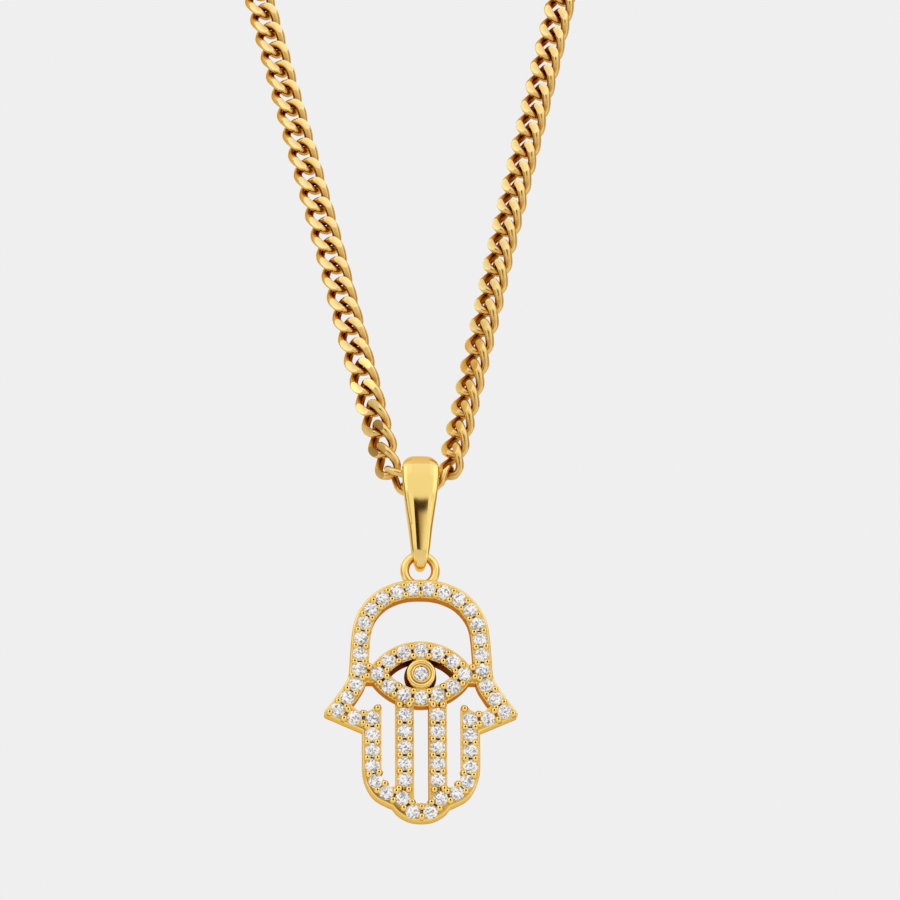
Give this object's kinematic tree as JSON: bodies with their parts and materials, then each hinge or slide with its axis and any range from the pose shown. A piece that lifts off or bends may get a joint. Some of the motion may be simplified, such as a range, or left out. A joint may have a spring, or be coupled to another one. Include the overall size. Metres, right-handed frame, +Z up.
{
  "type": "pendant necklace",
  "caption": "Open hamsa hand pendant with an eye, set with round clear stones, hanging by a tapered bail from a curb chain necklace.",
  "frame": {"origin": "where the clasp rests on the nape of the neck, at the middle of the clasp", "axes": "+X to the wearer's left, +Z up; the pendant hangs in front and faces -Y"},
  "size_m": [0.1028, 0.136, 0.2514],
  "materials": {
    "gold": "polished yellow gold plating over brass",
    "stones": "clear faceted cubic zirconia"
  },
  "bodies": {
    "necklace": {"chain_front": "gold", "chain_back": "gold", "clasp": "gold"},
    "bail": {"bail": "gold"},
    "hand": {"hand_frame": "gold", "pave_stones": "stones", "eye_stone": "stones"}
  },
  "joints": [
    {"name": "bail_swing", "type": "hinge", "parent": "necklace", "child": "bail", "pos_m": [0, -0.1317, -0.2155], "axis": [1, 0, 0], "range_deg": [-70, 70]},
    {"name": "hand_swing", "type": "hinge", "parent": "bail", "child": "hand", "pos_m": [0, -0.1317, -0.22295], "axis": [1, 0, 0], "range_deg": [-60, 60]}
  ]
}
